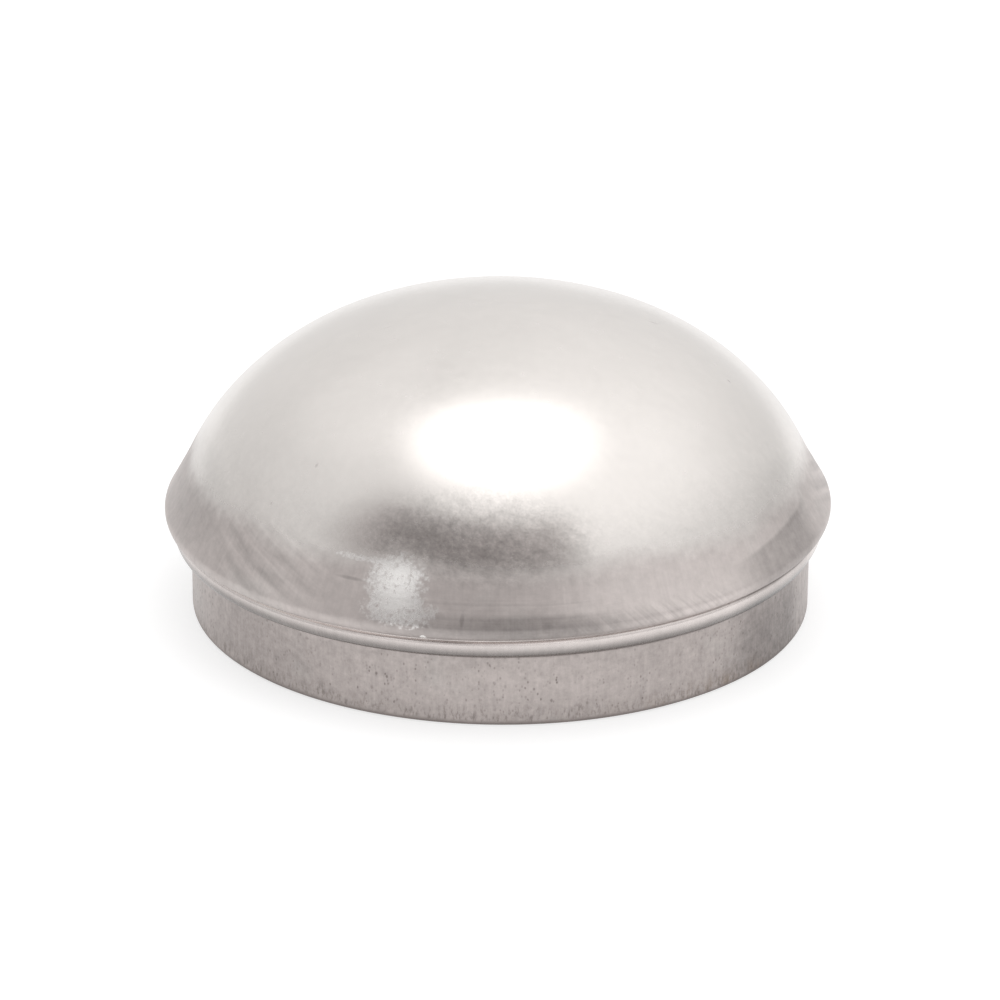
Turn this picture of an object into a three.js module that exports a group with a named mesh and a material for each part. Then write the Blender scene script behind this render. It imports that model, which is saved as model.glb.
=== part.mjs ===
// Pressed dome cap for a round chain link fence post of 60.3 mm (2 3/8 in) outside diameter.
// One disc of galvanised sheet is drawn into a cup: a domed crown, an outward shoulder with a rounded
// bead under it, and a short straight skirt that slides over the outside of the post.
// Millimetres, +Z up, origin at the centre of the rim's flat underside.
import * as THREE from "three";

// Driving dimensions
const postDiameter = 60.3;
const postClearance = 0.6; // on the diameter
const sheetThickness = 1.0;
const skirtWallHeight = 6.69; // straight stretch of the skirt's outside, above the rim's rounding
const rimRounding = 0.45; // where the trimming punch rolled the outer edge over
const turnSteps = 64; // facets round the axis
const leastStep = 0.05; // shortest facet on the inside

// The outside of the wall above the skirt, from the neck to the top. Each stretch is an arc that starts where
// the last one ends, in the same direction. "upTo" is the tilt above the horizontal, in degrees, of the
// surface's outward direction at the arc's upper end. Where the tilt falls, the arc is hollow seen from outside.
const stretches = {
  neck: { radius: 0.37, upTo: -80, steps: 2 },
  bead: { radius: 1.57, upTo: 4.5, steps: 5 },
  beadTop: { radius: 0.63, upTo: 48, steps: 2 },
  crease: { radius: 0.12, upTo: -85, steps: 2 },
  shoulder: { radius: 1.02, upTo: 30.7, steps: 5 },
  flank: { radius: 65, upTo: 26.4, steps: 2 },
  haunch: { radius: 24.2, upTo: 42.8, steps: 4 },
  dome: { radius: 29.8, upTo: 67.7, steps: 4 },
};
const crownSteps = 4; // the crown is one last arc, whose radius is what closes the dome on the axis

const boreRadius = (postDiameter + postClearance) / 2;
const skirtRadius = boreRadius + sheetThickness;
const galvanised = new THREE.MeshStandardMaterial({ color: 0xb9b3b0, roughness: 0.42, metalness: 1.0 });

const radians = THREE.MathUtils.degToRad;
const outward = (tilt) => new THREE.Vector2(Math.cos(radians(tilt)), Math.sin(radians(tilt)));

// Points along an arc that leaves `start` with the surface facing `fromTilt` and ends facing `toTilt`.
function arc(start, radius, fromTilt, toTilt, steps) {
  const bend = toTilt < fromTilt ? -radius : radius; // a hollow arc's centre lies outside the wall
  const centre = start.point.clone().addScaledVector(outward(fromTilt), -bend);
  return Array.from({ length: steps }, (_, i) => {
    const tilt = fromTilt + ((toTilt - fromTilt) * (i + 1)) / steps;
    return { point: centre.clone().addScaledVector(outward(tilt), bend), tilt };
  });
}

// The outside of the wall as points with the direction that the surface faces, from skirt to crown.
function outsideWall() {
  const wall = [
    { point: new THREE.Vector2(skirtRadius, rimRounding), tilt: 0 },
    { point: new THREE.Vector2(skirtRadius, rimRounding + skirtWallHeight), tilt: 0 },
  ];
  for (const { radius, upTo, steps } of Object.values(stretches)) {
    const last = wall.at(-1);
    wall.push(...arc(last, radius, last.tilt, upTo, steps));
  }
  const last = wall.at(-1);
  const crownRadius = last.point.x / outward(last.tilt).x;
  wall.push(...arc(last, crownRadius, last.tilt, 90, crownSteps));
  wall.at(-1).point.x = 0;
  return wall;
}

// The inside of the wall, one sheet thickness in. Where the outside bends tighter than the sheet is thick, its
// inward copy stands still or runs backwards, so those points are left out and the inside has a plain corner.
function insideWall(wall) {
  const inside = [];
  wall.forEach(({ point, tilt }, i) => {
    const copy = point.clone().addScaledVector(outward(tilt), -sheetThickness);
    const travel = i > 0 ? point.clone().sub(wall[i - 1].point).normalize() : null;
    if (!travel || copy.clone().sub(inside.at(-1)).dot(travel) > leastStep) inside.push(copy);
  });
  inside.at(-1).x = 0;
  return inside;
}

// Closed half section of the sheet: down the inside from the top, round the rim, and up the outside.
function sheetSection() {
  const wall = outsideWall();
  const outside = wall.map(({ point }) => point);
  const inside = insideWall(wall);
  const rimOuterEdge = new THREE.Vector2(skirtRadius - rimRounding, 0);
  const rimInnerEdge = new THREE.Vector2(boreRadius, 0);
  const rounding = arc({ point: rimOuterEdge }, rimRounding, -90, 0, 3).slice(0, -1);
  const roundedEdge = rounding.map(({ point }) => point);
  return [...inside.slice(1).toReversed(), rimInnerEdge, rimOuterEdge, ...roundedEdge, ...outside];
}

function domeCapShell() {
  const turned = new THREE.LatheGeometry(sheetSection(), turnSteps);
  const shell = new THREE.Mesh(turned, galvanised);
  shell.name = "dome_cap_shell";
  shell.rotation.x = Math.PI / 2; // a lathe turns about Y, and the cap stands along Z
  return shell;
}

const fencePostCap = new THREE.Group();
fencePostCap.add(domeCapShell());

export default fencePostCap;
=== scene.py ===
# Pressed zinc-coated dome cap for a round chain link fence post, set up for a studio picture
import math
import bpy
from mathutils import Matrix, Vector, noise


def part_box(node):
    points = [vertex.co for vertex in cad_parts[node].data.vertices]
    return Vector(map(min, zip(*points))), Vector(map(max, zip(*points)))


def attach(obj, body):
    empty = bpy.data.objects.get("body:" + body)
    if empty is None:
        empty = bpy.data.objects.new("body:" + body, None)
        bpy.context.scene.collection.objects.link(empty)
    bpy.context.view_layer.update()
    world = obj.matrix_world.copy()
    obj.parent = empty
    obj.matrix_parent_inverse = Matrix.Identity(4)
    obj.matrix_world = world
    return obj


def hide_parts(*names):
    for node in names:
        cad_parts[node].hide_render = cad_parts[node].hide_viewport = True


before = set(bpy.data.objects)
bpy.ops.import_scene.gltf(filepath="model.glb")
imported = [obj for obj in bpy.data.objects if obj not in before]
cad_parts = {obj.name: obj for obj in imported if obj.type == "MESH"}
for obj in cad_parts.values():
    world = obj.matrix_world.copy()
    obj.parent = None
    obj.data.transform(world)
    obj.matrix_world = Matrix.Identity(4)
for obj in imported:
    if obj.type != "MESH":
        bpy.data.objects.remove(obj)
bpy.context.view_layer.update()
capLow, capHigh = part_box("dome_cap_shell")
print("frame loaded, cap", [round((b - a) * 1000, 2) for a, b in zip(capLow, capHigh)], "mm")

mm = 0.001

# the sheet's shape, in the order it rises from the rim
capForm = {
    "sheet": 1.0 * mm,            # wall thickness
    "skirtRadius": 31.45 * mm,    # outside of the skirt
    "skirtTop": 7.14 * mm,        # where the straight wall ends under the bead
    "rimRounding": 0.45 * mm,     # rolled outer corner of the trimmed edge
    "rimBreak": 0.12 * mm,        # small broken corner on the bore side
    "turnSteps": 384,
    "roundingSteps": 6,
    "skirtSteps": 22,
    "crownSteps": 18,
    "leastStep": 0.02 * mm,       # shortest face on the inside
    "stretches": [                # radius, tilt of the surface at the upper end in degrees, steps
        (0.37 * mm, -80, 4),      # neck
        (1.57 * mm, 4.5, 18),     # bead
        (0.63 * mm, 48, 8),       # top of the bead
        (0.12 * mm, -85, 4),      # crease
        (1.02 * mm, 30.7, 16),    # shoulder
        (65.0 * mm, 26.4, 22),    # flank, hollow
        (24.2 * mm, 42.8, 14),    # haunch
        (29.8 * mm, 67.7, 16),    # dome
    ],
}

# what the press tool left in the sheet
asPressed = {
    "crownOffset": -0.25 * mm,    # the crown sits a little off the skirt's axis
    "crownTilt": 0.64,            # degrees, right side up
    "crownFrom": 7.2 * mm,        # height where the offset starts to grow
    "crownFull": 8.2 * mm,        # and where all of it is reached
    "wander": 0.035 * mm,         # slow waves in the drawn wall
    "flats": 0.05 * mm,           # soft flats pressed into the flank and haunch
    "dieLine": 0.022 * mm,        # step where the die's edge stopped on the flank
    "dieLineHeight": 13.3 * mm,
    "neckRing": 0.03 * mm,        # faint second ring under the bead
    "neckRingHeight": 6.3 * mm,
    "trim": 0.05 * mm,            # the trimmed edge is not quite level
}


def arcPoints(start, radius, toTilt, steps):
    # a point is (r, z, tilt of the surface); a tilt that falls makes the arc hollow
    r, z, tilt = start
    bend = -radius if toTilt < tilt else radius
    centreR = r - bend * math.cos(math.radians(tilt))
    centreZ = z - bend * math.sin(math.radians(tilt))
    points = []
    for i in range(1, steps + 1):
        t = tilt + (toTilt - tilt) * i / steps
        a = math.radians(t)
        points.append((centreR + bend * math.cos(a), centreZ + bend * math.sin(a), t))
    return points


def outsideLine():
    f = capForm
    rim = (f["skirtRadius"] - f["rimRounding"], 0.0, -90)
    line = [rim] + arcPoints(rim, f["rimRounding"], 0, f["roundingSteps"])
    low = f["rimRounding"]
    for i in range(1, f["skirtSteps"] + 1):
        line.append((f["skirtRadius"], low + (f["skirtTop"] - low) * i / f["skirtSteps"], 0))
    for radius, toTilt, steps in f["stretches"]:
        line += arcPoints(line[-1], radius, toTilt, steps)
    r, _, tilt = line[-1]
    crownRadius = r / math.cos(math.radians(tilt))
    return line + arcPoints(line[-1], crownRadius, 90, f["crownSteps"])


def insidePlaces(line):
    # outside points whose inward copy still moves forward; a bend tighter than the sheet leaves a corner
    f = capForm
    kept, last, before = [], None, None
    for r, z, tilt in line:
        a = math.radians(tilt)
        copy = Vector((r - f["sheet"] * math.cos(a), z - f["sheet"] * math.sin(a)))
        here = Vector((r, z))
        if last is None or (copy - last).dot((here - before).normalized()) > f["leastStep"]:
            kept.append((r, z, tilt))
            last = copy
        before = here
    return kept


def smooth(low, high, value):
    t = min(1.0, max(0.0, (value - low) / (high - low)))
    return t * t * (3 - 2 * t)


def bump(centre, halfWidth, value):
    return max(0.0, 1 - abs(value - centre) / halfWidth) ** 2


def pressedShift(turn, z):
    # how far the drawn sheet stands off its true form, outwards, at this place
    p = asPressed
    around = Vector((math.cos(turn), math.sin(turn), 0))
    slow = noise.noise(around * 2.2 + Vector((0, 0, z / mm / 9.0)))
    shift = p["wander"] * slow * smooth(0, 4 * mm, z)
    flank = smooth(10.5 * mm, 13 * mm, z) * (1 - smooth(20 * mm, 25 * mm, z))
    patch = noise.noise(around * 3.7 + Vector((5.2, 1.3, z / mm / 5.0)))
    shift -= p["flats"] * flank * max(0.0, patch - 0.05)
    die = smooth(-0.25, 0.25, noise.noise(around * 1.6 + Vector((0, 0, 9.1))))
    shift += p["dieLine"] * die * (smooth(-0.12 * mm, 0.12 * mm, p["dieLineHeight"] - z) - 0.5) * flank
    ring = smooth(0.0, 0.3, noise.noise(around * 1.3 + Vector((3.3, 0, 4.4))))
    shift -= p["neckRing"] * ring * bump(p["neckRingHeight"], 0.22 * mm, z)
    return shift


def asPressedPoint(turn, r, z, tilt, depth):
    # depth is how far under the outside the point lies
    p = asPressed
    a = math.radians(tilt)
    off = pressedShift(turn, z) - depth
    r2 = r + off * math.cos(a)
    z2 = z + off * math.sin(a)
    low = 1 - smooth(0, 2.5 * mm, z)
    z2 += p["trim"] * low * (noise.noise(Vector((math.cos(turn), math.sin(turn), 0.5)) * 1.9) + 0.35)
    x, y = r2 * math.cos(turn), r2 * math.sin(turn)
    share = smooth(p["crownFrom"], p["crownFull"], z)
    lean = math.radians(p["crownTilt"]) * share
    x2 = x + p["crownOffset"] * share - (z2 - p["crownFull"]) * lean * share
    return (x2, y, max(0.0, z2 + x * lean))


def shellRings():
    # rings from the rim's outer corner up the outside, then from the rim's bore corner up the inside
    f = capForm
    outside = outsideLine()
    bore = f["skirtRadius"] - f["sheet"]
    c = f["rimBreak"]
    outer = [(r, z, tilt, 0.0) for r, z, tilt in outside[:-1]]
    inner = [(bore + c, 0.0, 0, 0.0), (bore + c * 0.3, c * 0.3, 0, 0.0), (bore, c, 0, 0.0)]
    inner += [(r, z, tilt, f["sheet"]) for r, z, tilt in insidePlaces(outside[f["roundingSteps"]:-1])]
    return outer, inner, outside[-1][1]


def buildCap():
    steps = capForm["turnSteps"]
    outer, inner, top = shellRings()
    verts, faces, sides = [], [], []
    for r, z, tilt, depth in outer + inner:
        for k in range(steps):
            verts.append(asPressedPoint(2 * math.pi * k / steps, r, z, tilt, depth))
    crown = len(verts)
    verts.append(asPressedPoint(0, 0, top, 90, 0))
    verts.append(asPressedPoint(0, 0, top, 90, capForm["sheet"]))

    def band(lower, upper, side):
        sides.extend([side] * steps)
        for k in range(steps):
            l = (k + 1) % steps
            faces.append((lower * steps + k, lower * steps + l, upper * steps + l, upper * steps + k))

    n, m = len(outer), len(outer) + len(inner)
    for j in range(n - 1):
        band(j, j + 1, 0)
    for j in range(n, m - 1):
        band(j + 1, j, 1)
    band(n, 0, 0)
    for k in range(steps):
        l = (k + 1) % steps
        faces.append(((n - 1) * steps + k, (n - 1) * steps + l, crown))
        faces.append(((m - 1) * steps + l, (m - 1) * steps + k, crown + 1))
        sides.extend([0, 1])
    mesh = bpy.data.meshes.new("domeCap")
    mesh.from_pydata(verts, [], faces)
    mesh.polygons.foreach_set("use_smooth", [True] * len(mesh.polygons))
    mesh.polygons.foreach_set("material_index", sides)
    mesh.update()
    cap = bpy.data.objects.new("domeCap", mesh)
    bpy.context.scene.collection.objects.link(cap)
    return cap


# the zinc finish: tones by zone, then the marks of drawing, handling and storage, and painted shade and
# painted highlights
zincLook = {
    "crownColour": (0.68, 0.647, 0.621),     # smooth upper dome
    "flankColour": (0.52, 0.476, 0.459),    # rubbed by the die
    "beadColour": (0.54, 0.498, 0.481),       # polished by the forming tool
    "skirtColour": (0.425, 0.383, 0.368),
    "coolColour": (0.50, 0.51, 0.485),       # faint greenish grey clouds
    # dark colour for dirt and for painted shade
    "dirtAndShadeColour": (0.19, 0.165, 0.155),
    "stainColour": (0.24, 0.19, 0.15),       # brownish, near the rim
    "rubAndGlintColour": (0.93, 0.92, 0.90),         # bare and bright where rubbed; also the colour of the painted glints
    "crownRoughness": 0.25,
    "flankRoughness": 0.46,
    "beadRoughness": 0.27,
    "skirtRoughness": 0.42,
    "rubRoughness": 0.25,
    "flankTop": 16.1 * mm,                   # where the smooth dome meets the drawn flank
    "flankFade": 1.3 * mm,
    "beadPaintedShade": 0.50,                       # tone low on the bead: painted shade, rising to a painted highlight at its top
    "creaseHeight": 9.72 * mm,
    "neckHeight": 7.5 * mm,
    "relief": 0.0035 * mm,
}

# how strongly each mark changes the tone
markAmounts = {
    "crownMottle": 0.08,
    "flankMottle": 0.36,
    "beadMottle": 0.08,
    "skirtMottle": 0.72,
    "fineStreaks": 0.14,
    "broadStreaks": 0.12,
    "clouds": 0.12,
    "haze": 1.15,
    "drawRings": 0.27,
    "slidFlat": -0.27,
    "paintedBeadTopHighlight": 0.7,
    "swirls": 0.95,
    "shoulderHatch": 0.6,
    "rimDashes": 0.8,
    "crease": 0.42,
    "neck": 0.5,
    "rimDirtAndShade": 1.0,
    "rimStain": 0.7,
    "dirtAndShade": 0.75,
    "rubAndGlint": 0.8,
}

# soft darker and lighter places: turn from the front, height in mm, half widths, change of tone
softPlaces = [
    (2, 10.9, 25, 1.7, -0.24),               # low on the flank, in front
    (6, 11.2, 13, 1.2, -0.14),
    (34, 13.4, 24, 3.4, 0.16),               # lighter to the right of it
    (-60, 13.8, 22, 3.4, -0.06),             # left
    (-80, 14.8, 19, 4.2, -0.18),
    (-42, 27.0, 18, 4.0, 0.07),
    (68, 16.6, 13, 2.8, -0.11),
    (4, 17.2, 13, 1.6, -0.10),               # haze on the haunch
    (-50, 3.8, 16, 4.6, -0.14),              # skirt
    (62, 2.8, 18, 3.8, -0.13),
    (-6, 3.5, 14, 3.0, 0.06),
    (-6.3, 12.0, 0.4, 0.6, -0.20),           # a nick and a scratch
    (-27, 14.4, 2.6, 0.16, -0.22),
    (10, 4.6, 12, 2.0, 0.07),
    (160, 13.0, 20, 2.6, -0.16),             # and at the back
    (-135, 2.6, 16, 2.4, -0.12),
    (118, 5.0, 14, 2.4, -0.10),
]

rubAndGlintPlaces = [                                # bright rubbed places, and painted glints on the front left: the same, then how strong
    (-18.3, 14.9, 5.6, 2.3, 1.3),
    (-17.2, 12.3, 6.6, 1.5, 1.1),
    (-26.0, 16.3, 6.0, 0.32, 0.85),
    (-12.7, 10.05, 0.5, 0.28, 4.0),
    (141, 13.6, 5.0, 2.0, 0.7),
]


def add(tree, kind, **settings):
    node = tree.nodes.new(kind)
    for key, value in settings.items():
        setattr(node, key, value)
    return node


def plug(tree, socket, value):
    if isinstance(value, bpy.types.NodeSocket):
        tree.links.new(value, socket)
    else:
        socket.default_value = value


def calc(tree, operation, a, b=0.0, c=0.0):
    node = add(tree, "ShaderNodeMath", operation=operation)
    for socket, value in zip(node.inputs, (a, b, c)):
        plug(tree, socket, value)
    return node.outputs[0]


def scaleVector(tree, vector, by):
    node = add(tree, "ShaderNodeVectorMath", operation="SCALE")
    plug(tree, node.inputs[0], vector)
    plug(tree, node.inputs["Scale"], by)
    return node.outputs["Vector"]


def ramp(tree, value, low, high, toLow=0.0, toHigh=1.0):
    # smooth step from low to high
    node = add(tree, "ShaderNodeMapRange", interpolation_type="SMOOTHSTEP")
    plug(tree, node.inputs["Value"], value)
    for name, number in (("From Min", low), ("From Max", high), ("To Min", toLow), ("To Max", toHigh)):
        node.inputs[name].default_value = number
    return node.outputs["Result"]


def near(tree, value, centre, halfWidth):
    # 1 at the centre, 0 half a width away
    gap = calc(tree, "ABSOLUTE", calc(tree, "SUBTRACT", value, centre))
    return ramp(tree, gap, 0.0, halfWidth, 1.0, 0.0)


def grainAt(tree, where, scale, detail=3.0, roughness=0.55):
    # noise round zero, about half a unit each way
    node = add(tree, "ShaderNodeTexNoise")
    plug(tree, node.inputs["Vector"], where)
    node.inputs["Scale"].default_value = scale
    node.inputs["Detail"].default_value = detail
    node.inputs["Roughness"].default_value = roughness
    return calc(tree, "SUBTRACT", node.outputs["Fac"], 0.5)


def blendColour(tree, share, a, b):
    node = add(tree, "ShaderNodeMix", data_type="RGBA")
    plug(tree, node.inputs["Factor"], share)
    for socket, value in ((node.inputs[6], a), (node.inputs[7], b)):
        plug(tree, socket, value if isinstance(value, bpy.types.NodeSocket) else (*value, 1))
    return node.outputs[2]


def blendValue(tree, share, a, b):
    node = add(tree, "ShaderNodeMix", data_type="FLOAT")
    for socket, value in ((node.inputs["Factor"], share), (node.inputs[2], a), (node.inputs[3], b)):
        plug(tree, socket, value)
    return node.outputs[0]


def sheetPlace(tree):
    # the point, its height, its turn from the front and the way out from the axis
    point = add(tree, "ShaderNodeTexCoord").outputs["Object"]
    split = add(tree, "ShaderNodeSeparateXYZ")
    plug(tree, split.inputs[0], point)
    x, y, z = split.outputs
    turn = calc(tree, "ARCTAN2", x, calc(tree, "MULTIPLY", y, -1.0))
    flat = add(tree, "ShaderNodeVectorMath", operation="MULTIPLY")
    plug(tree, flat.inputs[0], point)
    flat.inputs[1].default_value = (1, 1, 0)
    out = add(tree, "ShaderNodeVectorMath", operation="NORMALIZE")
    plug(tree, out.inputs[0], flat.outputs["Vector"])
    return {"point": point, "height": z, "turn": turn, "out": out.outputs["Vector"]}


def stretched(tree, place, aroundScale, upScale, slant=0.0):
    # coordinates with one scale round the wall and another up it; a slant leans the marks over
    low = scaleVector(tree, place["out"], capForm["skirtRadius"] * aroundScale)
    up = calc(tree, "MULTIPLY", place["height"], upScale)
    if slant:
        up = calc(tree, "MULTIPLY_ADD", place["turn"], capForm["skirtRadius"] * slant * upScale, up)
    join = add(tree, "ShaderNodeCombineXYZ")
    plug(tree, join.inputs["Z"], up)
    both = add(tree, "ShaderNodeVectorMath", operation="ADD")
    plug(tree, both.inputs[0], low)
    plug(tree, both.inputs[1], join.outputs[0])
    return both.outputs["Vector"]


def softPatch(tree, place, turn, height, halfTurn, halfHeight):
    # a soft oval on the wall; turns in degrees, heights in mm
    gap = calc(tree, "SUBTRACT", place["turn"], math.radians(turn))
    across = calc(tree, "MULTIPLY", calc(tree, "SINE", calc(tree, "MULTIPLY", gap, 0.5)),
                  2 / math.radians(halfTurn))
    up = calc(tree, "MULTIPLY", calc(tree, "SUBTRACT", place["height"], height * mm), 1 / (halfHeight * mm))
    far = calc(tree, "MULTIPLY_ADD", across, across, calc(tree, "MULTIPLY", up, up))
    return ramp(tree, far, 0.0, 1.6, 1.0, 0.0)


def wallZones(tree, place):
    # shares of flank, bead and skirt; what is left is the smooth dome
    look, height = zincLook, place["height"]
    fade = look["flankFade"]
    uneven = calc(tree, "MULTIPLY_ADD", grainAt(tree, place["point"], 75, 2), 3.0 * mm, height)
    uneven = calc(tree, "MULTIPLY_ADD", grainAt(tree, place["point"], 900, 4, 0.7), 1.2 * mm, uneven)
    flank = ramp(tree, uneven, look["flankTop"] - fade, look["flankTop"] + fade, 1.0, 0.0)
    bead = ramp(tree, height, look["creaseHeight"] - 0.06 * mm, look["creaseHeight"] + 0.06 * mm, 1.0, 0.0)
    skirt = ramp(tree, height, look["neckHeight"] - 0.15 * mm, look["neckHeight"] + 0.15 * mm, 1.0, 0.0)
    return flank, bead, skirt


def pitMarks(tree, place, around, up, size, share):
    # scattered dark specks: one cell in a few holds one
    cells = add(tree, "ShaderNodeTexVoronoi")
    plug(tree, cells.inputs["Vector"], stretched(tree, place, around, up))
    cells.inputs["Scale"].default_value = 1.0
    split = add(tree, "ShaderNodeSeparateColor")
    plug(tree, split.inputs[0], cells.outputs["Color"])
    chosen = calc(tree, "LESS_THAN", split.outputs["Red"], share)
    speck = ramp(tree, cells.outputs["Distance"], size * 0.3, size, 1.0, 0.0)
    strength = calc(tree, "MULTIPLY_ADD", split.outputs["Green"], 0.7, 0.3)
    return calc(tree, "MULTIPLY", calc(tree, "MULTIPLY", chosen, speck), strength)


def skirtPits(tree, place, skirt):
    # pits gather in clusters on the skirt
    where = ramp(tree, grainAt(tree, place["point"], 210, 4, 0.7), -0.08, 0.12, 0.25, 1.0)
    fine = pitMarks(tree, place, 3300, 2200, 0.46, 0.34)
    large = pitMarks(tree, place, 2000, 1400, 0.40, 0.14)
    both = calc(tree, "MAXIMUM", fine, large)
    return calc(tree, "MULTIPLY", calc(tree, "MULTIPLY", both, where), skirt)


def rimDashes(tree, place):
    # short dark dashes that climb from the rim, and end at uneven heights
    reach = calc(tree, "MULTIPLY", grainAt(tree, stretched(tree, place, 330, 0.0), 1.0, 2), 3.0 * mm)
    low = ramp(tree, calc(tree, "SUBTRACT", place["height"], reach), 0.5 * mm, 2.8 * mm, 1.0, 0.0)
    dashes = grainAt(tree, stretched(tree, place, 3300, 1250), 1.0, 3, 0.65)
    return calc(tree, "MULTIPLY", low, ramp(tree, dashes, -0.05, 0.2))


def rimStain(tree, place):
    # brown blotches of storage rust along the rim
    blotch = ramp(tree, grainAt(tree, stretched(tree, place, 620, 520), 1.0, 5, 0.75), -0.06, 0.18)
    low = ramp(tree, place["height"], 0.5 * mm, 2.6 * mm, 1.0, 0.0)
    front = softPatch(tree, place, 43, 0.9, 16, 2.6)
    back = softPatch(tree, place, -150, 0.9, 22, 2.2)
    where = calc(tree, "MULTIPLY_ADD", calc(tree, "MAXIMUM", front, back), 0.85, 0.15)
    return calc(tree, "MULTIPLY", calc(tree, "MULTIPLY", blotch, low), where)


def swirls(tree, place):
    # leaning streaks where the sheet slid on the left of the shoulder
    where = calc(tree, "MAXIMUM", softPatch(tree, place, -44, 13.6, 15, 3.4),
                 softPatch(tree, place, 100, 13.6, 20, 3.0))
    marks = grainAt(tree, stretched(tree, place, 90, 950, 0.33), 1.0, 3, 0.5)
    return calc(tree, "MULTIPLY", where, marks)


def shoulderHatch(tree, place):
    # fine leaning nicks on the shoulder just above the bead
    where = calc(tree, "MAXIMUM", softPatch(tree, place, 28, 11.2, 17, 1.2),
                 softPatch(tree, place, -160, 11.2, 30, 1.1))
    nicks = grainAt(tree, stretched(tree, place, 60, 2300, 1.1), 1.0, 2, 0.5)
    return calc(tree, "MULTIPLY", where, nicks)


def between(tree, value, edges):
    # 0 outside, 1 inside, with both edges smooth
    rise = ramp(tree, value, edges[0], edges[1])
    fall = ramp(tree, value, edges[2], edges[3], 1.0, 0.0)
    return calc(tree, "MULTIPLY", rise, fall)


def turnSpan(tree, place, edges):
    return between(tree, place["turn"], [math.radians(e) for e in edges])


def slidFlat(tree, place):
    # a flat darker face on the right of the shoulder, with a sharp slanting upper edge
    lean = calc(tree, "MULTIPLY_ADD", place["turn"], -3.2 * mm, place["height"])
    high = ramp(tree, lean, 10.7 * mm, 11.15 * mm, 1.0, 0.0)
    return calc(tree, "MULTIPLY", turnSpan(tree, place, (43, 53, 66, 74)), high)


def drawRings(tree, place):
    # level lines the die left in front, low on the flank
    where = softPatch(tree, place, -2, 12.2, 26, 2.6)
    lines = grainAt(tree, stretched(tree, place, 45, 3000), 1.0, 3, 0.6)
    wobble = calc(tree, "MULTIPLY_ADD", grainAt(tree, place["point"], 200, 2), 0.3 * mm, place["height"])
    stop = near(tree, wobble, asPressed["dieLineHeight"], 0.14 * mm)
    stop = calc(tree, "MULTIPLY", stop, turnSpan(tree, place, (-24, -18, 12, 19)))
    return calc(tree, "SUBTRACT", calc(tree, "MULTIPLY", where, lines), calc(tree, "MULTIPLY", stop, 0.22))


def handlingHaze(tree, place):
    # blotchy scuffs where the cap is held and stacked: strongest in front, on the haunch
    blotches = grainAt(tree, stretched(tree, place, 1100, 1700, 0.15), 1.0, 6, 0.82)
    front = softPatch(tree, place, -4, 18.8, 21, 3.8)
    back = softPatch(tree, place, 170, 18.0, 30, 3.8)
    amount = calc(tree, "MULTIPLY_ADD", lowHaunch(tree, place), 0.24, calc(tree, "MAXIMUM", front, back))
    return calc(tree, "MULTIPLY", blotches, amount)


def lowHaunch(tree, place):
    return ramp(tree, place["height"], 16 * mm, 25 * mm, 1.0, 0.0)


def skirtMottle(tree, place):
    cloudy = grainAt(tree, stretched(tree, place, 1000, 1100), 1.0, 6, 0.78)
    upright = grainAt(tree, stretched(tree, place, 2600, 700), 1.0, 3, 0.6)
    return calc(tree, "MULTIPLY_ADD", upright, 0.4, cloudy)


def toneOf(tree, place, flank, beadOrSkirt, skirt, mottle, marked):
    # one multiplier for the colour, near 1, with painted shade and a painted highlight on the bead; only
    # the outside carries the marks of work and handling and the painted highlight along the bead's top
    fine = grainAt(tree, stretched(tree, place, 3600, 260), 1.0, 3, 0.6)
    broad = grainAt(tree, stretched(tree, place, 420, 130), 1.0, 3, 0.6)
    cloud = grainAt(tree, place["point"], 95, 3)
    amounts = markAmounts
    tone = calc(tree, "MULTIPLY_ADD", cloud, amounts["clouds"], 1.0)
    # painted shade low on the bead, rising to a painted highlight at its top
    beadLightAndShade = ramp(tree, place["height"], 8.1 * mm, 9.5 * mm, zincLook["beadPaintedShade"], 1.28)
    bead = calc(tree, "SUBTRACT", beadOrSkirt, skirt)
    mottled = blendValue(tree, flank, amounts["crownMottle"], amounts["flankMottle"])
    parts = [(mottle, blendValue(tree, beadOrSkirt, mottled, amounts["beadMottle"])),
             (calc(tree, "MULTIPLY", fine, flank), amounts["fineStreaks"]),
             (calc(tree, "MULTIPLY", broad, flank), amounts["broadStreaks"]),
             (calc(tree, "MULTIPLY", skirtMottle(tree, place), skirt), amounts["skirtMottle"]),
             (calc(tree, "MULTIPLY", calc(tree, "SUBTRACT", beadLightAndShade, 1.0), bead), 1.0)]
    if marked:
        # a painted highlight along the top of the bead, in front
        beadTopHighlight = near(tree, place["height"], 9.5 * mm, 0.25 * mm)
        beadTopHighlight = calc(tree, "MULTIPLY", beadTopHighlight, turnSpan(tree, place, (-9, -3, 10, 17)))
        parts += [(handlingHaze(tree, place), amounts["haze"]),
                  (drawRings(tree, place), amounts["drawRings"]),
                  (slidFlat(tree, place), amounts["slidFlat"]),
                  (beadTopHighlight, amounts["paintedBeadTopHighlight"]),
                  (swirls(tree, place), amounts["swirls"]),
                  (shoulderHatch(tree, place), amounts["shoulderHatch"])]
        for turn, height, halfTurn, halfHeight, change in softPlaces:
            parts.append((softPatch(tree, place, turn, height, halfTurn, halfHeight), change))
    for part, amount in parts:
        tone = calc(tree, "MULTIPLY_ADD", part, amount, tone)
    return tone, fine


def rubsAndGlints(tree, place, grain):
    # bright rubbed places and painted glints, broken up by the grain
    total = 0.0
    for turn, height, halfTurn, halfHeight, strength in rubAndGlintPlaces:
        spot = calc(tree, "MULTIPLY", softPatch(tree, place, turn, height, halfTurn, halfHeight), strength)
        total = calc(tree, "ADD", spot, total)
    speckle = grainAt(tree, place["point"], 1500, 3, 0.6)
    broken = calc(tree, "MULTIPLY_ADD", calc(tree, "ADD", speckle, grain), 2.2, total)
    return calc(tree, "MULTIPLY", ramp(tree, broken, 0.15, 1.35), ramp(tree, total, 0.0, 0.35))


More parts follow.
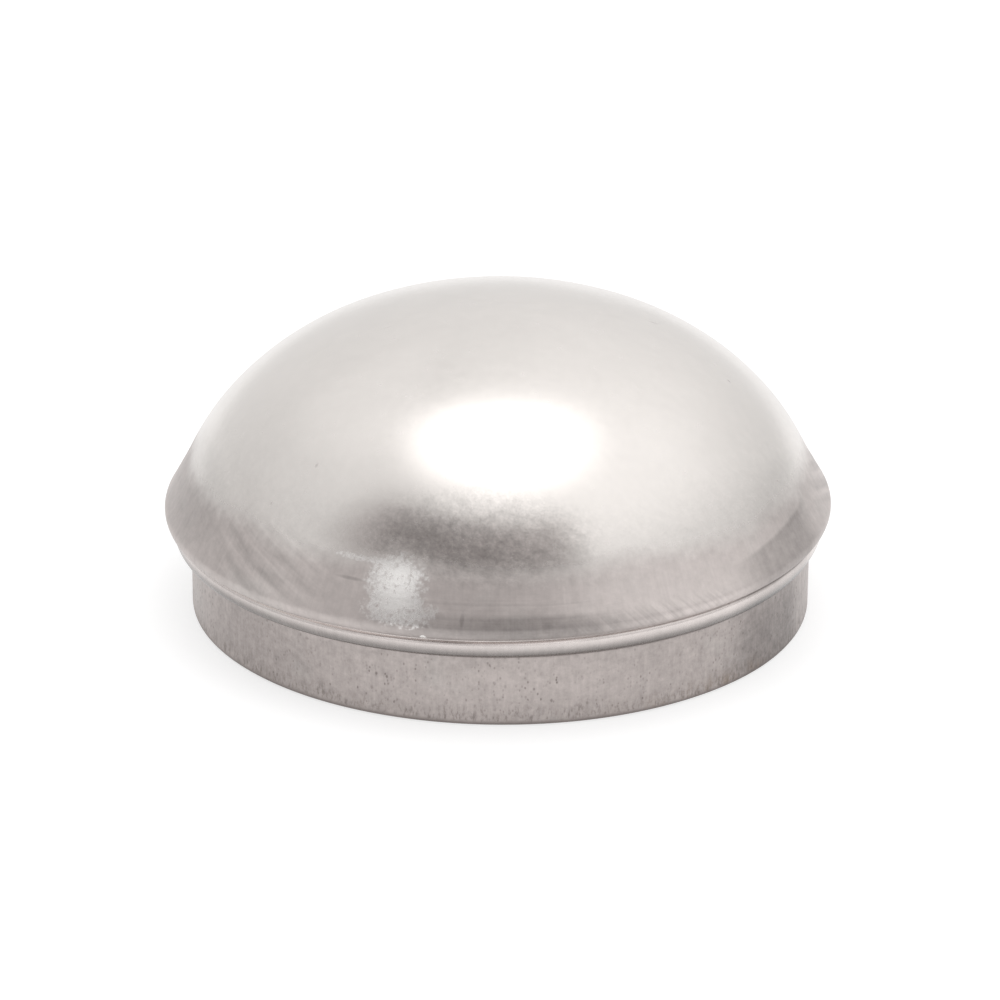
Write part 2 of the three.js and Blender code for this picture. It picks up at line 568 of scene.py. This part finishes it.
def zincSteel(name, marked):
    look, amounts = zincLook, markAmounts
    material = bpy.data.materials.new(name)
    material.use_nodes = True
    tree = material.node_tree
    shader = tree.nodes["Principled BSDF"]
    shader.inputs["Metallic"].default_value = 1.0
    place = sheetPlace(tree)
    height, point = place["height"], place["point"]
    flank, bead, skirt = wallZones(tree, place)
    mottle = grainAt(tree, point, 900, 5, 0.65)
    grain = grainAt(tree, point, 2800, 2, 0.6)

    colour = blendColour(tree, flank, look["crownColour"], look["flankColour"])
    colour = blendColour(tree, bead, colour, look["beadColour"])
    colour = blendColour(tree, skirt, colour, look["skirtColour"])
    cool = ramp(tree, grainAt(tree, point, 140, 3), 0.02, 0.25, 0.0, 0.15)
    colour = blendColour(tree, calc(tree, "MULTIPLY", cool, flank), colour, look["coolColour"])
    tone, fine = toneOf(tree, place, flank, bead, skirt, mottle, marked)
    colour = scaleVector(tree, colour, tone)
    # rubbed bare places and painted glints, outside only
    rubAndGlint = rubsAndGlints(tree, place, grain) if marked else 0.0
    colour = blendColour(tree, calc(tree, "MULTIPLY", rubAndGlint, amounts["rubAndGlint"]), colour, look["rubAndGlintColour"])

    pits = calc(tree, "MAXIMUM", skirtPits(tree, place, skirt),
                calc(tree, "MULTIPLY", pitMarks(tree, place, 420, 420, 0.10, 0.10), 0.6))
    # dark line in the crease: dirt and painted shade, weaker from 12 to 50 degrees right
    crease = near(tree, height, look["creaseHeight"] + 0.10 * mm, 0.11 * mm)
    # dark band under the bead: dirt and painted shade
    neck = near(tree, height, look["neckHeight"] + 0.05 * mm, 0.30 * mm)
    # dark band along the rim's edge: dirt and painted shade
    rim = ramp(tree, height, 0.15 * mm, 0.75 * mm, 1.0, 0.0)
    creaseEased = turnSpan(tree, place, (12, 20, 44, 50))
    crease = calc(tree, "MULTIPLY", crease, calc(tree, "MULTIPLY_ADD", creaseEased, -0.85, 1.0))
    # dirt from pits and rim dashes, with the painted shade at crease, neck and rim
    dirtAndShade = pits
    marks = ((rimDashes(tree, place), amounts["rimDashes"]), (crease, amounts["crease"]),
             (neck, amounts["neck"]), (rim, amounts["rimDirtAndShade"]))
    for mark, amount in marks:
        dirtAndShade = calc(tree, "MAXIMUM", dirtAndShade, calc(tree, "MULTIPLY", mark, amount))
    stain = calc(tree, "MULTIPLY", rimStain(tree, place), amounts["rimStain"])
    colour = blendColour(tree, stain, colour, look["stainColour"])
    colour = blendColour(tree, calc(tree, "MULTIPLY", dirtAndShade, amounts["dirtAndShade"]), colour, look["dirtAndShadeColour"])
    plug(tree, shader.inputs["Base Color"], colour)

    rough = blendValue(tree, flank, look["crownRoughness"], look["flankRoughness"])
    rough = blendValue(tree, bead, rough, look["beadRoughness"])
    rough = blendValue(tree, skirt, rough, look["skirtRoughness"])
    rough = blendValue(tree, rubAndGlint, rough, look["rubRoughness"])
    for part, amount in ((grain, 0.08), (mottle, 0.08), (dirtAndShade, 0.2)):
        rough = calc(tree, "MULTIPLY_ADD", part, amount, rough)
    plug(tree, shader.inputs["Roughness"], rough)

    relief = calc(tree, "MULTIPLY", grain, 1.0)
    for part, amount in ((mottle, 0.8), (calc(tree, "MULTIPLY", fine, flank), 0.9), (pits, -3.0)):
        relief = calc(tree, "MULTIPLY_ADD", part, amount, relief)
    raised = add(tree, "ShaderNodeBump")
    raised.inputs["Distance"].default_value = look["relief"]
    worn = calc(tree, "MULTIPLY_ADD", lowHaunch(tree, place), 1.0, 0.22)
    worn = calc(tree, "MULTIPLY_ADD", calc(tree, "SUBTRACT", bead, skirt), -1.0, worn)
    plug(tree, raised.inputs["Height"], calc(tree, "MULTIPLY", relief, worn))
    plug(tree, shader.inputs["Normal"], raised.outputs["Normal"])
    return material


cap = buildCap()
# the inside has the same zinc without the marks of work and handling
for name, marked in (("zincOutside", True), ("zincInside", False)):
    cap.data.materials.append(zincSteel(name, marked))
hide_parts("dome_cap_shell")
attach(cap, "root")
print("cap made,", len(cap.data.polygons), "faces")

cameraSet = {
    "elevation": 23.81,           # degrees above the floor
    "distance": 0.5567,           # from the origin
    "lens": 195.5,
    "aimUp": 9.81 * mm,           # aim point above the origin, square to the view
    "aimRight": -0.06 * mm,
    "roll": 0.28,
}

# a white tent with a lamp overhead; it is dimmer on the camera's side
tentSet = {
    "lowSide": 0.74,              # brightness near the floor at the sides
    "lowBack": 0.95,              # behind
    "high": 1.04,                 # overhead
    "rightGain": 0.34,            # brighter to the right
    "lamp": 1.25,                  # added by the lamp
    "lampEdge": (63, 79),         # elevations where its edge fades
    "dim": (0.20, 0.46),          # brightness of the dim side, left and right
    "dimTurns": (-80, -44, 30, 37),    # azimuths where it fades in and out
    "dimHeights": (24, 31, 51, 61),    # elevations
    "gap": 0.75,                   # added by the bright gap left of the camera
    "gapTurns": (-46, -38, -34, -28),
    "gapHeights": (10, 18, 30, 37),
    "dimColour": (1.06, 0.98, 0.975),
    "floorTone": 0.45,
    "floorGlow": 0.64,            # the floor is lit a little from below
}


def toward(azimuth, elevation, distance):
    # azimuth 0 is the camera's side, positive to the right
    a, e = math.radians(azimuth), math.radians(elevation)
    return Vector((math.sin(a) * math.cos(e), -math.cos(a) * math.cos(e), math.sin(e))) * distance


def makeCamera():
    c = cameraSet
    data = bpy.data.cameras.new("studioCamera")
    data.lens = c["lens"]
    data.sensor_width = 36
    data.clip_start = 0.01
    data.clip_end = 20
    cam = bpy.data.objects.new("studioCamera", data)
    bpy.context.scene.collection.objects.link(cam)
    cam.location = toward(0, c["elevation"], c["distance"])
    aim = toward(180, 90 - c["elevation"], c["aimUp"]) + Vector((c["aimRight"], 0, 0))
    roll = Matrix.Rotation(math.radians(c["roll"]), 3, "Z").to_quaternion()
    cam.rotation_mode = "QUATERNION"
    cam.rotation_quaternion = (aim - cam.location).to_track_quat("-Z", "Y") @ roll
    bpy.context.scene.camera = cam


def skyPatch(tree, azimuth, z, turns, heights):
    across = between(tree, azimuth, [math.radians(t) for t in turns])
    return calc(tree, "MULTIPLY", across, between(tree, z, [math.sin(math.radians(h)) for h in heights]))


def makeTent():
    t = tentSet
    world = bpy.data.worlds.new("tent")
    world.use_nodes = True
    tree = world.node_tree
    back = tree.nodes["Background"]
    split = add(tree, "ShaderNodeSeparateXYZ")
    plug(tree, split.inputs[0], add(tree, "ShaderNodeTexCoord").outputs["Generated"])
    x, y, z = split.outputs
    azimuth = calc(tree, "ARCTAN2", x, calc(tree, "MULTIPLY", y, -1.0))
    low = ramp(tree, y, 0.2, 0.95, t["lowSide"], t["lowBack"])
    high = ramp(tree, x, -0.4, 0.8, t["high"], t["high"] + t["rightGain"])
    light = blendValue(tree, ramp(tree, z, 0.05, 0.9), low, high)
    dim = skyPatch(tree, azimuth, z, t["dimTurns"], t["dimHeights"])
    dimLight = ramp(tree, azimuth, math.radians(-45), math.radians(42), *t["dim"])
    light = blendValue(tree, dim, light, dimLight)
    gap = skyPatch(tree, azimuth, z, t["gapTurns"], t["gapHeights"])
    light = calc(tree, "MULTIPLY_ADD", gap, t["gap"], light)
    edge = [math.sin(math.radians(e)) for e in t["lampEdge"]]
    light = calc(tree, "ADD", light, ramp(tree, z, edge[0], edge[1], 0.0, t["lamp"]))
    tint = ramp(tree, light, 0.25, 0.95)
    plug(tree, back.inputs["Color"], blendColour(tree, tint, t["dimColour"], (1, 1, 1)))
    plug(tree, back.inputs["Strength"], light)
    bpy.context.scene.world = world


def makeFloor():
    side = 3.0
    corners = [(-side, -side, 0), (side, -side, 0), (side, side, 0), (-side, side, 0)]
    mesh = bpy.data.meshes.new("floor")
    mesh.from_pydata(corners, [], [(0, 1, 2, 3)])
    floor = bpy.data.objects.new("floor", mesh)
    bpy.context.scene.collection.objects.link(floor)
    paper = bpy.data.materials.new("floorPaper")
    paper.use_nodes = True
    skin = paper.node_tree.nodes["Principled BSDF"]
    skin.inputs["Base Color"].default_value = (tentSet["floorTone"],) * 3 + (1,)
    skin.inputs["Roughness"].default_value = 0.9
    skin.inputs["Specular IOR Level"].default_value = 0.1
    skin.inputs["Emission Color"].default_value = (1, 1, 1, 1)
    skin.inputs["Emission Strength"].default_value = tentSet["floorGlow"]
    mesh.materials.append(paper)


makeCamera()
makeTent()
makeFloor()
bpy.context.scene.view_settings.view_transform = "Standard"
print("studio ready")
